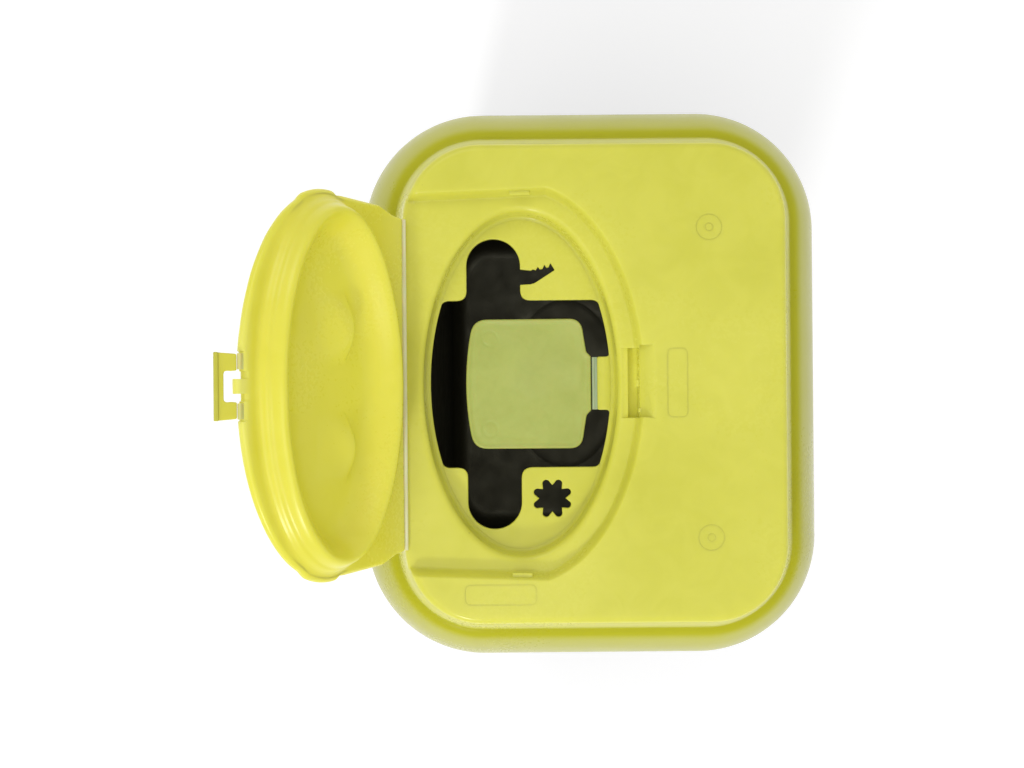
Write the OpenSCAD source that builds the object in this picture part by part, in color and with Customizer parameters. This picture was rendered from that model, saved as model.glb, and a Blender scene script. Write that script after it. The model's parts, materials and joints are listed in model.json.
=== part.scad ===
// Sharps container: a dark tapered tub, a colour-coded lid snapped onto it, a hinged flip lid
// with a fold-over latch, and a sprung safety flap across the drop opening.
// Millimetres, +Z up, origin at the centre of the tub's underside.
// X runs from the lid's hinge side (-) to its latch side (+).

/* [Footprint] */
// Half length along X of the straight-sided core that every rounded outline grows from
core_x = 24.5; // [20:0.5:30]
// Half length along Y of that core
core_y = 35; // [30:0.5:40]

/* [Tub] */
// Height of the tub
tub_h = 163; // [120:1:200]
// Outer corner radius at the tub's underside
tub_foot_r = 14.6; // [12:0.1:17]
// Outer corner radius at the tub's top
tub_top_r = 22.8; // [21:0.1:23]
// Wall thickness of the tub
tub_wall = 1.6; // [1.2:0.1:2]
// Floor thickness of the tub
tub_floor = 2; // [1.5:0.1:3]
// Height of the raised fill line
fill_line_z = 122; // [100:1:130]

/* [Lid] */
// Depth of the lid from its flat top to the skirt's rim
lid_drop = 34; // [32:1:38]
// Corner radius of the flat top
plateau_r = 16.2; // [15:0.1:17]
// Drop from the flat top to the ledge at the foot of its wall
plateau_h = 11.5; // [10:0.5:13]
// Outer corner radius at the skirt's rim
rim_r = 27.7; // [27:0.1:29]
// Thickness of the lid
lid_wall = 1.7; // [1.4:0.1:2]

/* [Lid seat] */
// X of the centre of the oval opening and of its seat
oval_x = -16.1; // [-18:0.1:-14]
// Depth of the seat below the flat top
seat_drop = 3; // [2.6:0.1:3.4]
// Depth of the aperture plates below the flat top
plate_drop = 8; // [7.6:0.1:8.6]
// Half width along X of the oval well
well_rx = 19.4; // [19:0.1:20]
// Half length along Y of the oval well
well_ry = 36.3; // [36:0.1:37]

/* [Drop opening] */
// Width of the long round-ended slot
slot_w = 11.7; // [9:0.1:13]
// Half length of that slot
slot_half = 31.6; // [29:0.1:32.5]
// Half length along Y of the window that the flap covers
window_half = 18.2; // [16:0.1:20]
// Half length along Y of the safety flap
flap_half = 14.1; // [12:0.1:14.5]
// Thickness of the safety flap
flap_t = 0.8; // [0.6:0.1:1]

/* [Flip lid] */
// How far the lid has turned open from closed in the modelled position, degrees
open_angle = 124; // [0:1:170]
// Half length along Y of the hinge line
hinge_half = 35.6; // [33:0.1:36]
// Half width along X of the flip lid's oval
flip_rx = 24.4; // [24:0.1:24.6]
// Half length along Y of the flip lid's oval
flip_ry = 38.6; // [37:0.1:39]
// Thickness of the flip lid's edge
flip_t = 2; // [1.6:0.1:2]
// Height of the plug ring on the flip lid's inner face
plug_h = 4.8; // [4:0.1:4.8]

/* [Latch] */
// How far the latch stands out of the flip lid's plane in the modelled position, degrees
latch_raise = 42; // [40:1:60]
// Length of the latch from its hinge
latch_len = 5.2; // [5:0.1:6]
// Width of the latch
latch_w = 12.8; // [11:0.1:13]
// Thickness of the latch
latch_t = 1.2; // [1:0.1:1.3]

/* [Hidden] */
$fn = 48;

top_z = tub_h + 24;                    // flat top of the lid
rim_z = top_z - lid_drop;              // lower edge of the skirt
ledge_z = top_z - plateau_h;           // ledge around the foot of the plateau wall
seat_z = top_z - seat_drop;            // floor of the flip lid's seat
plate_z = top_z - plate_drop;          // upper face of the aperture plates
plate_t = 1.6;                         // thickness of the aperture plates
foot_r = plateau_r + 2.6;              // radius at the foot of the plateau wall
shoulder_r = foot_r + 1.5;             // radius where the convex shoulder begins
shoulder_z = rim_z + 4;                // height where the shoulder turns into the skirt
edge_round = 2;                        // rounding of the flat top's edge
seat_wall = 1.4;                       // thickness of the walls around seat and well
seat_rx = 25.5;                        // half width of the seat's oval end
seat_ry = 42;                          // half length of the seat's oval end
slot_x = -21.9;                        // centre line of the round-ended slot

hinge_x = -41;                         // flip lid's hinge axis
hinge_z = seat_z + 1;
pin_r = 0.6;                           // radius of the flip lid's rolled hinge web
pin_gap = 0.05;                        // running clearance around each hinge web
flip_cx = oval_x - hinge_x;            // centre of the flip lid's oval, measured from its hinge
flip_low = -0.6;                       // inner face of the closed flip lid, measured from its hinge
flip_end = flip_cx + flip_rx;          // latch hinge, measured from the flip lid's hinge

latch_slot_lo = 5.4;                   // X limits of the slot that the latch drops into
latch_slot_hi = 10;
latch_window = 2.9;                    // half width of the latch's window
leg_gap = 0.3;                         // clearance outside the latch's legs
latch_slot_half = 7.5;
latch_slot_z = seat_z - 4.8;           // floor of that slot
tongue_half = 1.5;                     // half width of the tongue between the latch's legs
latch_pin_r = 0.4;

flap_axis_x = -0.2;                    // safety flap's hinge axis
flap_axis_z = plate_z - 0.8;
flap_pin_r = 0.35;
flap_tip_x = -28;                      // free edge of the safety flap
tab_half = 5.8;                        // half length of the flap's hinge

yellow = [0.86, 0.84, 0.34];
deep_yellow = [0.74, 0.73, 0.33];
pale_green = [0.72, 0.76, 0.44, 0.8];
near_black = [0.11, 0.11, 0.1];
paper_white = [0.93, 0.93, 0.9];

// ---- outlines and sweeps ----

function oval_points(rx, ry) = [for (i = [0:71]) [rx * cos(5 * i), ry * sin(5 * i)]];
function arc_points(cx, cy, rx, ry, from, to, steps = 8) =
    [for (i = [0:steps]) let (a = from + (to - from) * i / steps) [cx + rx * cos(a), cy + ry * sin(a)]];
function tub_r(z) = tub_foot_r + (tub_top_r - tub_foot_r) * z / tub_h;

// Rounded rectangle that grows from the core by r
module rounded_core(r) {
    square([2 * core_x, 2 * (core_y + r)], center = true);
    square([2 * (core_x + r), 2 * core_y], center = true);
    for (sx = [-1, 1], sy = [-1, 1])
        translate([sx * core_x, sy * core_y])
            circle(r);
}

// Sweeps a profile (distance out from the core, height) all the way round the core
module around_core() {
    for (turn = [0:3]) {
        across = turn % 2 == 0 ? core_x : core_y;
        along = turn % 2 == 0 ? core_y : core_x;
        rotate([0, 0, 90 * turn])
            translate([across, along, 0]) {
                rotate_extrude(angle = 90)
                    children();
                rotate([90, 0, 0])
                    linear_extrude(2 * along)
                        children();
            }
    }
}

// Slab that covers the core between two heights
module core_slab(lo, hi) {
    translate([-core_x, -core_y, lo])
        cube([2 * core_x, 2 * core_y, hi - lo]);
}

module oval(rx, ry) {
    translate([oval_x, 0])
        polygon(oval_points(rx, ry));
}

// Outline of the flip lid's seat, grown by e: straight flanks that end in an oval.
// It runs out through the plateau's wall on the hinge side.
module seat_outline(e = 0) {
    flank_lo = 39.8;                   // half width between the flanks at the hinge
    flank_hi = 40.9;                   // and where they meet the oval
    polygon([[-44, -flank_lo - e], [-12, -flank_hi - e], [-12, flank_hi + e], [-44, flank_lo + e]]);
    intersection() {
        oval(seat_rx + e, seat_ry + e);
        translate([-20, -flank_hi - 0.4 - e])
            square([60, 2 * (flank_hi + 0.4 + e)]);
    }
}

// ---- tub ----

module tub_profile() {
    foot_round = 4;
    floor_round = 6;
    inner_foot = tub_r(tub_floor + floor_round) - tub_wall;
    polygon(concat(
        [[0, 0]],
        arc_points(tub_r(foot_round) - foot_round, foot_round, foot_round, foot_round, -90, 0),
        [[tub_r(tub_h - 3), tub_h - 3], [tub_top_r + 1.5, tub_h - 2.6], [tub_top_r + 1.5, tub_h],
         [tub_top_r - tub_wall, tub_h]],
        arc_points(inner_foot - floor_round, tub_floor + floor_round, floor_round, floor_round, 0, -90),
        [[0, tub_floor]]));
}

module base_tub() {
    color(near_black) {
        difference() {
            union() {
                around_core()
                    tub_profile();
                core_slab(0, tub_floor);
            }
            // shallow oval mark moulded into the floor
            translate([0, 0, tub_floor - 0.3])
                linear_extrude(1)
                    difference() {
                        polygon(oval_points(19, 29));
                        polygon(oval_points(18.2, 28.2));
                    }
        }
        // raised fill line
        around_core()
            polygon([[tub_r(fill_line_z) - 0.5, fill_line_z], [tub_r(fill_line_z) + 0.4, fill_line_z],
                     [tub_r(fill_line_z) + 0.4, fill_line_z + 1], [tub_r(fill_line_z) - 0.5, fill_line_z + 1]]);
    }
}

module user_label() {
    label_w = 58;
    label_h = 72;
    label_z = 66;
    draft = atan((tub_top_r - tub_foot_r) / tub_h);
    color(paper_white)
        translate([core_x + tub_r(label_z) + 0.02, 0, label_z])
            rotate([0, draft, 0])
                translate([0, -label_w / 2, -label_h / 2])
                    cube([0.25, label_w, label_h]);
}

// ---- lid ----

module lid_profile() {
    shoulder_rx = rim_r - 0.3 - shoulder_r;
    shoulder_ry = ledge_z - 0.3 - shoulder_z;
    polygon(concat(
        [[0, top_z]],
        arc_points(plateau_r - edge_round, top_z - edge_round, edge_round, edge_round, 90, 0),
        [[foot_r - 0.2, ledge_z + 0.6], [foot_r + 0.3, ledge_z]],
        arc_points(shoulder_r, shoulder_z, shoulder_rx, shoulder_ry, 90, 0, 12),
        [[rim_r, rim_z], [rim_r - lid_wall, rim_z]],
        arc_points(shoulder_r, shoulder_z, shoulder_rx - lid_wall, shoulder_ry - lid_wall, 0, 90, 12),
        [[foot_r - lid_wall + 0.6, ledge_z - lid_wall], [foot_r - lid_wall - 0.3, ledge_z - lid_wall + 0.9],
         [plateau_r - lid_wall, top_z - lid_wall], [0, top_z - lid_wall]]));
}

// Ribs under the lid: one stops on the tub's top edge, the other plugs inside its wall
module lid_ribs() {
    around_core() {
        translate([tub_top_r - 0.4, tub_h])
            square([1.2, 9]);
        translate([tub_top_r - tub_wall - 1.4, tub_h - 5])
            square([1, 16]);
    }
}

module latch_slot() {
    translate([latch_slot_lo, -latch_slot_half, latch_slot_z])
        cube([latch_slot_hi - latch_slot_lo, 2 * latch_slot_half, 10]);
    // finger scoop behind the slot
    translate([latch_slot_hi - 0.01, 7, top_z - 2])
        rotate([90, 0, 0])
            linear_extrude(14)
                polygon([[0, 0], [0.6, 0], [2.4, 2.01], [0, 2.01]]);
}

module lid_shell() {
    color(yellow)
        difference() {
            union() {
                around_core()
                    lid_profile();
                core_slab(top_z - lid_wall, top_z);
                lid_ribs();
                translate([0, 0, seat_z - lid_wall])
                    linear_extrude(seat_drop + lid_wall - 0.5)
                        intersection() {
                            seat_outline(seat_wall);
                            rounded_core(plateau_r + 0.2);
                        }
                translate([0, 0, plate_z - plate_t])
                    linear_extrude(seat_z - plate_z + plate_t)
                        oval(well_rx + seat_wall, well_ry + seat_wall);
                // walls and floor of the latch slot
                translate([latch_slot_lo - seat_wall, -latch_slot_half - seat_wall, latch_slot_z - seat_wall])
                    cube([latch_slot_hi - latch_slot_lo + 2 * seat_wall, 2 * (latch_slot_half + seat_wall),
                          top_z - 1 - latch_slot_z + seat_wall]);
            }
            translate([0, 0, seat_z])
                linear_extrude(seat_drop + 1)
                    seat_outline();
            translate([0, 0, plate_z - plate_t - 1])
                linear_extrude(20)
                    oval(well_rx, well_ry);
            latch_slot();
            // the plateau wall is low along the hinge line
            translate([-50, -hinge_half - 0.6, seat_z + 0.2])
                cube([12, 2 * hinge_half + 1.2, 10]);
            // two moulding gate marks
            for (sy = [-1, 1])
                translate([24.1, 33 * sy, top_z])
                    difference() {
                        cylinder(r = 2.8, h = 0.3, center = true);
                        cylinder(r = 0.9, h = 1, center = true);
                    }
        }
}

module skirt_snaps() {
    snap_w = 9;
    snap_lo = tub_h - 5.6;
    inner_r = rim_r - 0.3 - lid_wall;
    color(deep_yellow) {
        for (sx = [-1, 1], y = [-20, 20])
            translate([sx * (core_x + inner_r - 1.25), y, snap_lo + 1.05])
                cube([2.3, snap_w, 2.1], center = true);
        for (sy = [-1, 1])
            translate([0, sy * (core_y + inner_r - 1.25), snap_lo + 1.05])
                cube([snap_w, 2.3, 2.1], center = true);
    }
}

// Small clips on the seat's flanks that hold the flip lid while the container is in use
module recess_clips() {
    color(yellow)
        intersection() {
            for (sy = [-1, 1])
                translate([oval_x, sy * 40.4, top_z - 0.8])
                    cube([4.3, 1.4, 0.6], center = true);
            translate([0, 0, seat_z])
                linear_extrude(seat_drop)
                    seat_outline();
        }
}

// Nub in the latch slot that the latch's window drops over
module latch_catch() {
    color(yellow)
        translate([latch_slot_hi - 1.8, -1.2, seat_z - 1.6])
            cube([1.8, 2.4, 1]);
}

// ---- drop opening ----

module aperture_plate(side) {
    translate([0, 0, plate_z - plate_t])
        linear_extrude(plate_t)
            difference() {
                intersection() {
                    oval(well_rx, well_ry);
                    translate([-50, side > 0 ? window_half : -window_half - 40])
                        square([100, 40]);
                }
                translate([slot_x, 0])
                    square([slot_w, 2 * slot_half - slot_w], center = true);
                translate([slot_x, side * (slot_half - slot_w / 2)])
                    circle(slot_w / 2);
                children();
            }
}

// Toothed jaw that opens off the slot and unscrews needles
module needle_jaw() {
    polygon([[slot_x, 24.6], [-15.9, 24.6], [-12.4, 25.0], [-12.1, 25.9], [-11.4, 25.4], [-10.8, 26.4],
             [-10.1, 25.8], [-9.5, 26.9], [-8.4, 25.1], [-13.2, 21.9], [-15.9, 21.7], [slot_x, 21.7]]);
}

// Eight-lobed hole that grips screw-on blades and caps
module star_hole() {
    outer_r = 4.3;
    inner_r = 3.1;
    translate([-9.4, -25]) {
        circle(inner_r);
        for (i = [0:7])
            rotate(22.5 + 45 * i) {
                translate([0, -0.75])
                    square([outer_r - 0.75, 1.5]);
                translate([outer_r - 0.75, 0])
                    circle(0.75);
            }
    }
}

module needle_plate() {
    color(yellow)
        aperture_plate(1)
            needle_jaw();
}

module blade_plate() {
    color(yellow)
        aperture_plate(-1)
            star_hole();
}

module flap_hinge_tab() {
    color(yellow)
        translate([0, 0, plate_z - plate_t])
            linear_extrude(plate_t)
                intersection() {
                    oval(well_rx, well_ry);
                    translate([flap_axis_x + 0.8, -tab_half])
                        square([20, 2 * tab_half]);
                }
}

// Thin hinge web: a rolled edge on the flap's axis and a strip back to the tab
module flap_hinge_web() {
    color(deep_yellow) {
        translate([flap_axis_x, 0, flap_axis_z])
            rotate([90, 0, 0])
                cylinder(r = flap_pin_r, h = 2 * tab_half - 0.2, center = true);
        translate([flap_axis_x, -tab_half + 0.1, flap_axis_z - 0.2])
            cube([0.8, 2 * tab_half - 0.2, 0.4]);
    }
}

module safety_flap() {
    bulge = 1.4;
    color(pale_green)
        difference() {
            translate([0, 0, flap_axis_z - flap_t / 2])
                linear_extrude(flap_t)
                    polygon(concat(
                        [[flap_axis_x - 0.2, -tab_half], [flap_axis_x - 0.2, tab_half], [-1.6, tab_half + 0.9],
                         [-3.4, flap_half - 1.6], [-5, flap_half]],
                        arc_points(flap_tip_x + bulge + 2, flap_half - 2, 2, 2, 90, 150, 4),
                        [for (i = [1:7]) let (y = (flap_half - 3) * (1 - i / 4))
                            [flap_tip_x + bulge * pow(y / flap_half, 2), y]],
                        arc_points(flap_tip_x + bulge + 2, 2 - flap_half, 2, 2, 210, 270, 4),
                        [[-5, -flap_half], [-3.4, 1.6 - flap_half], [-1.6, -tab_half - 0.9]]));
            translate([flap_axis_x, 0, flap_axis_z])
                rotate([90, 0, 0])
                    cylinder(r = flap_pin_r + pin_gap, h = 40, center = true);
        }
}

// ---- flip lid, drawn closed and turned open about its hinge ----

module opened() {
    translate([hinge_x, 0, hinge_z])
        rotate([0, -open_angle, 0])
            children();
}

// Rolled hinge web on the axis, standing on the lid's edge
module flip_lid_hinge_web() {
    color(deep_yellow) {
        translate([hinge_x, 0, hinge_z])
            rotate([90, 0, 0])
                cylinder(r = pin_r, h = 2 * hinge_half - 0.6, center = true);
        translate([hinge_x - 0.1, 0.3 - hinge_half, seat_z + 0.2])
            cube([0.45, 2 * hinge_half - 0.6, 0.8]);
    }
}

module flip_outline() {
    translate([flip_cx, 0])
        polygon(oval_points(flip_rx, flip_ry));
    polygon([[0.2, -hinge_half + 0.3], [3.6, -hinge_half], [8.6, 0.8 - flip_ry], [flip_cx, 0.4 - flip_ry],
             [flip_cx, flip_ry - 0.4], [8.6, flip_ry - 0.8], [3.6, hinge_half], [0.2, hinge_half - 0.3]]);
}

// Cap of a sphere that stands on or cuts into a face at height z
module thumb_dome(z, rise) {
    dome_r = 17;
    for (sy = [-1, 1])
        translate([flip_cx - 3, 12.4 * sy, z])
            intersection() {
                translate([0, 0, dome_r - rise])
                    sphere(dome_r);
                translate([-8, -8, -rise])
                    cube([16, 16, rise + 0.3]);
            }
}

module flip_lid() {
    color(yellow)
        opened()
            difference() {
                union() {
                    // tongue between the latch's legs
                    translate([flip_end - 1, -tongue_half, flip_low + 0.4])
                        cube([2.2, 2 * tongue_half, 0.8]);
                    difference() {
                        translate([0, 0, flip_low])
                            linear_extrude(flip_t)
                                flip_outline();
                        // thinner panel inside the plug ring
                        translate([flip_cx, 0, flip_low - 1])
                            linear_extrude(1.6)
                                polygon(oval_points(17, 34.2));
                    }
                    thumb_dome(flip_low + 0.6, 1);
                }
                rotate([90, 0, 0])
                    cylinder(r = pin_r + pin_gap, h = 100, center = true);
                // underside relieved beside the hinge web's foot
                translate([-1, -50, flip_low - 1])
                    cube([1.75, 100, 1.4]);
                // room for the latch's legs and their hinge webs on both sides of the tongue
                for (side = [0, 1])
                    mirror([0, side, 0])
                        translate([flip_end - 0.9, tongue_half, flip_low - 1])
                            cube([5, latch_w / 2 + leg_gap - tongue_half, flip_t + 2]);
                translate([0, 0, flip_low + flip_t + 0.6])
                    thumb_dome(0, 1.1);
            }
}

module flip_lid_ears() {
    color(yellow)
        opened()
            difference() {
                for (sy = [-1, 1])
                    translate([flip_cx, sy * (flip_ry + 0.2), flip_low + flip_t / 2])
                        cube([5, 1.1, 1], center = true);
                translate([0, 0, flip_low])
                    linear_extrude(flip_t)
                        flip_outline();
            }
}

module plug_ring() {
    color(yellow)
        opened()
            translate([flip_cx, 0, flip_low - plug_h])
                linear_extrude(plug_h)
                    difference() {
                        polygon(oval_points(18.4, 35.5));
                        polygon(oval_points(17, 34.2));
                    }
}

// ---- latch, drawn in the flip lid's plane and raised about its own hinge ----

module latch_hinge_web() {
    color(deep_yellow)
        opened()
            translate([flip_end, 0, 0])
                for (sy = [-1, 1])
                    translate([0, sy * (latch_w / 2 + latch_window) / 2, 0]) {
                        rotate([90, 0, 0])
                            cylinder(r = latch_pin_r, h = 3, center = true);
                        translate([-0.9, -1.5, -0.2])
                            cube([0.9, 3, 0.4]);
                    }
}

module latch_tab() {
    color(yellow)
        opened()
            translate([flip_end, 0, 0])
                rotate([0, -latch_raise, 0])
                    difference() {
                        union() {
                            translate([0.25, -latch_w / 2, -latch_t / 2])
                                cube([latch_len - 0.25, latch_w, latch_t]);
                            // hooked end
                            translate([latch_len - 0.9, -latch_w / 2, -latch_t / 2 - 0.4])
                                cube([0.9, latch_w, latch_t + 0.4]);
                        }
                        rotate([90, 0, 0])
                            cylinder(r = latch_pin_r + pin_gap, h = 40, center = true);
                        // window that drops over the catch, open towards the hinge
                        translate([-1, -latch_window, -2])
                            cube([4.2, 2 * latch_window, 4]);
                    }
}

base_tub();
user_label();
lid_shell();
skirt_snaps();
recess_clips();
latch_catch();
needle_plate();
blade_plate();
flap_hinge_tab();
flap_hinge_web();
safety_flap();
flip_lid_hinge_web();
flip_lid();
flip_lid_ears();
plug_ring();
latch_hinge_web();
latch_tab();
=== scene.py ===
"""Looks of the sharps container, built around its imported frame.

Lengths are millimetres in the frame's own axes until a mesh is made, where MM turns them
into metres. X runs from the lid's hinge side to its latch side, and Z is up.
"""

import json
import math

import bmesh
import bpy
import numpy as np
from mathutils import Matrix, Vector


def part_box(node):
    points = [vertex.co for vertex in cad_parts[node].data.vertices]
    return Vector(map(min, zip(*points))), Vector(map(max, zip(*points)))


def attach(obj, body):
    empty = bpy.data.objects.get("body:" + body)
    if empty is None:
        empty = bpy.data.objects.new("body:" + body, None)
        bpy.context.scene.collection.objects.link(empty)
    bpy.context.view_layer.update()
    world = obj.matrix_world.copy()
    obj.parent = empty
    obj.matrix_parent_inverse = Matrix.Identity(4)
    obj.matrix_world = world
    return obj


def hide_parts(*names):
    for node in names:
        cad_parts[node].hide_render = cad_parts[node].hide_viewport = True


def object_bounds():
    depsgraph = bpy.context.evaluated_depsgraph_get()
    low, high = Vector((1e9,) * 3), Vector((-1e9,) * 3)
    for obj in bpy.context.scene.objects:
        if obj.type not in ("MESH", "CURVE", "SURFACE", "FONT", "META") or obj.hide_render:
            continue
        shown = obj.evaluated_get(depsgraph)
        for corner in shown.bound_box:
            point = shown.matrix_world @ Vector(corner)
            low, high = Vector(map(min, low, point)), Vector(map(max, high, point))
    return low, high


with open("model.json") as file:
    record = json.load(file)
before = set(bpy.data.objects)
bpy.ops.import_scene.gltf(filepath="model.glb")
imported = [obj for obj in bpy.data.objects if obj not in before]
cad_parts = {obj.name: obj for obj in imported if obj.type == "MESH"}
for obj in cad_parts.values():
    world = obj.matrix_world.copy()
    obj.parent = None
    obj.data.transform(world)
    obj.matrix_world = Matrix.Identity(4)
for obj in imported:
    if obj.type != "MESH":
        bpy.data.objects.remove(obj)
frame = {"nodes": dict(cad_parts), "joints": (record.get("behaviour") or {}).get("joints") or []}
CAD_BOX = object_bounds()
MM = 0.001


# ---- sizes, from the frame ----

def box_mm(node):
    """Lowest and highest corner of a CAD node, in millimetres."""
    return tuple(np.array(corner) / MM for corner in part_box(node))


def joint_mm(name):
    """Where a joint's axis lies, in millimetres."""
    return next(np.array(j["pos_m"]) / MM for j in frame["joints"] if j["name"] == name)


LID_LO, LID_HI = box_mm("lid_shell")
TUB_HI = box_mm("base_tub")[1]
PLATE_LO, PLATE_HI = box_mm("blade_plate")
FLAP_LO, FLAP_HI = box_mm("safety_flap")
LABEL_LO, LABEL_HI = box_mm("user_label")
LATCH_HALF = box_mm("latch_tab")[1][1]
HINGE = joint_mm("flip_lid_hinge")
LATCH_HINGE = joint_mm("latch_hinge")
FLAP_HINGE = joint_mm("safety_flap_hinge")

CORE_X, CORE_Y = 24.5, 35.0                 # rectangle that every rounded outline grows from
RIM_R = LID_HI[0] - CORE_X                  # how far the skirt's rim stands out from it
TOP_Z, RIM_Z = LID_HI[2], LID_LO[2]
PLATEAU_R, FOOT_R, SHOULDER_R = 16.2, 18.7, 20.3
LEDGE_Z = TOP_Z - 11.5                      # ledge around the plateau's wall
SHOULDER_Z = RIM_Z + 1
EDGE_ROUND = 1.7                            # rounding of the plateau's edge
LID_WALL = 1.7

OVAL_X = -16.1                              # centre of seat, well and flip lid
SEAT_DROP = 3.0
SEAT_Z = TOP_Z - SEAT_DROP
SEAT_RX, SEAT_RY = 25.5, 42.0
WELL_RX, WELL_RY = 20.2, 36.3
PLATE_Z, PLATE_UNDER = PLATE_HI[2], PLATE_LO[2]

SLOT_X, SLOT_R, SLOT_END = -21.9, 5.85, 31.6
WINDOW_Y = 18.2

OPEN_ANGLE = math.atan2(LATCH_HINGE[2] - HINGE[2], LATCH_HINGE[0] - HINGE[0])
FLIP_C = OVAL_X - HINGE[0]                  # centre of the flip lid, from its hinge
FLIP_END = math.hypot(LATCH_HINGE[2] - HINGE[2], LATCH_HINGE[0] - HINGE[0])
FLIP_RX, FLIP_RY = FLIP_END - FLIP_C, 38.6
FLIP_LOW, FLIP_T = -0.6, 2.0                # inner face when closed, and edge thickness
HINGE_HALF = 35.6


# ---- numbers and outlines ----

def smooth_min(a, b, k):
    """The lower of a and b, blended where they are within k."""
    h = np.clip(0.5 + 0.5 * (b - a) / k, 0, 1)
    return b * (1 - h) + a * h - k * h * (1 - h)


def smooth_max(a, b, k):
    return -smooth_min(-a, -b, k)


def smooth_step(t):
    t = np.clip(t, 0, 1)
    return t * t * (3 - 2 * t)


def ripple(x, y, wavelength, seed, waves=7):
    """A gentle random surface between about -1 and 1, the same at every run."""
    rng = np.random.default_rng(seed)
    total = 0
    for _ in range(waves):
        a, phase = rng.uniform(0, math.tau, 2)
        k = math.tau / (wavelength * rng.uniform(0.7, 1.6))
        total = total + np.sin(k * (x * math.cos(a) + y * math.sin(a)) + phase)
    return total / math.sqrt(waves)


def core_field(x, y):
    """Distance out from the core rectangle."""
    dx, dy = np.abs(x) - CORE_X, np.abs(y) - CORE_Y
    return np.hypot(np.maximum(dx, 0), np.maximum(dy, 0)) + np.minimum(np.maximum(dx, dy), 0)


def oval_field(rx, ry, cx=OVAL_X):
    """A function that gives the distance out from an oval."""
    def field(x, y):
        u = x - cx
        f = np.sqrt((u / rx) ** 2 + (y / ry) ** 2) + 1e-9
        slope = np.sqrt((u / rx**2) ** 2 + (y / ry**2) ** 2) / f + 1e-9
        return (f - 1) / slope
    return field


well_field = oval_field(WELL_RX, WELL_RY)
seat_oval = oval_field(SEAT_RX, SEAT_RY)
FLANK_X = -10.5                             # where the seat's flanks meet its oval end
FLANK_Y = SEAT_RY * math.sqrt(1 - ((FLANK_X - OVAL_X) / SEAT_RX) ** 2)
FLANK_TAPER = 0.037


def seat_field(x, y):
    """Distance out from the flip lid's seat, which is open on the hinge side."""
    flank = np.abs(y) - (FLANK_Y - FLANK_TAPER * (FLANK_X - x))
    return np.where(x < FLANK_X, flank, seat_oval(x, y))


def reach(field, level, centre, theta, far=120.0):
    """How far along each ray from centre the field comes up to level."""
    lo, hi = np.full(len(theta), 1.0), np.full(len(theta), far)
    for _ in range(44):
        mid = (lo + hi) / 2
        out = field(centre[0] + mid * np.cos(theta), centre[1] + mid * np.sin(theta)) > level
        hi, lo = np.where(out, mid, hi), np.where(out, lo, mid)
    return (lo + hi) / 2


def outline_radius(points, centre, theta):
    """How far along each ray from centre a closed outline is crossed."""
    a = points - np.array(centre)
    edge = np.roll(a, -1, axis=0) - a
    c, s = np.cos(theta)[:, None], np.sin(theta)[:, None]
    cross = c * edge[:, 1] - s * edge[:, 0]
    cross = np.where(np.abs(cross) < 1e-12, 1e-12, cross)
    along = (a[:, 0] * edge[:, 1] - a[:, 1] * edge[:, 0]) / cross
    share = (a[:, 0] * s - a[:, 1] * c) / cross
    hit = (along > 0) & (share > -1e-9) & (share < 1 + 1e-9)
    return np.where(hit, along, 0).max(axis=1)


def angles(count, *dense):
    """Ray angles, closer together within `half` of each dense `at`: (at, half, times)."""
    fine = np.linspace(-math.pi, math.pi, 20001)
    weight = np.ones_like(fine)
    for at, half, times in dense:
        off = np.abs((fine - at + math.pi) % math.tau - math.pi)
        weight += (times - 1) * (1 - smooth_step((off / half - 0.7) / 0.6))
    total = np.concatenate([[0], np.cumsum((weight[1:] + weight[:-1]) / 2)])
    return np.interp(np.arange(count) / count, total / total[-1], fine)


def fillet(corners, steps=7):
    """A closed outline through (x, y, radius) corners, each rounded to its radius."""
    points, n = [], len(corners)
    for i, (x, y, r) in enumerate(corners):
        here = np.array([x, y])
        back = np.array(corners[i - 1][:2]) - here
        ahead = np.array(corners[(i + 1) % n][:2]) - here
        lb, la = np.linalg.norm(back), np.linalg.norm(ahead)
        half = math.acos(np.clip(back @ ahead / (lb * la), -1, 1)) / 2
        cut = min(r / max(math.tan(half), 1e-6), 0.66 * lb, 0.66 * la)
        if r <= 0 or half > math.radians(88):
            points.append(here)
            continue
        a, b = here + back / lb * cut, here + ahead / la * cut
        for t in np.linspace(0, 1, steps):
            points.append((1 - t) ** 2 * a + 2 * t * (1 - t) * here + t**2 * b)
    return np.array(points)


def mirrored(corners):
    """(x, y, radius) corners on the other side of the X axis."""
    return [(x, -y, r) for x, y, r in corners]


def rectangle(x_lo, x_hi, y_lo, y_hi, r_lo, r_hi):
    """A rectangle with one corner radius at its low X end and another at its high end."""
    return fillet([(x_lo, y_lo, r_lo), (x_hi, y_lo, r_hi), (x_hi, y_hi, r_hi), (x_lo, y_hi, r_lo)])


def arc(cx, cy, r, start, end, steps):
    """Points on an arc, angles in degrees."""
    a = np.radians(np.linspace(start, end, steps))
    return [(cx + r * c, cy + r * s) for c, s in zip(np.cos(a), np.sin(a))]


def step_profile(e_foot, z_top, z_foot, draft, r_top, r_foot, steps=7):
    """A wall as (distance out, height) from its top edge down to its foot at e_foot."""
    turn = math.pi / 2 - math.radians(draft)
    lean = math.tan(math.radians(draft))
    drop = 1 - math.cos(turn)
    height = z_top - z_foot
    run = r_top * math.sin(turn) + r_foot * math.sin(turn) + (height - (r_top + r_foot) * drop) * lean
    top = [(e_foot + run - r_top * math.sin(a), z_top - r_top * (1 - math.cos(a)))
           for a in np.linspace(0, turn, steps)]
    foot = [(e_foot + r_foot * math.sin(a), z_foot + r_foot * (1 - math.cos(a)))
            for a in np.linspace(turn, 0, steps)]
    return top + foot


# ---- meshes ----

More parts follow.
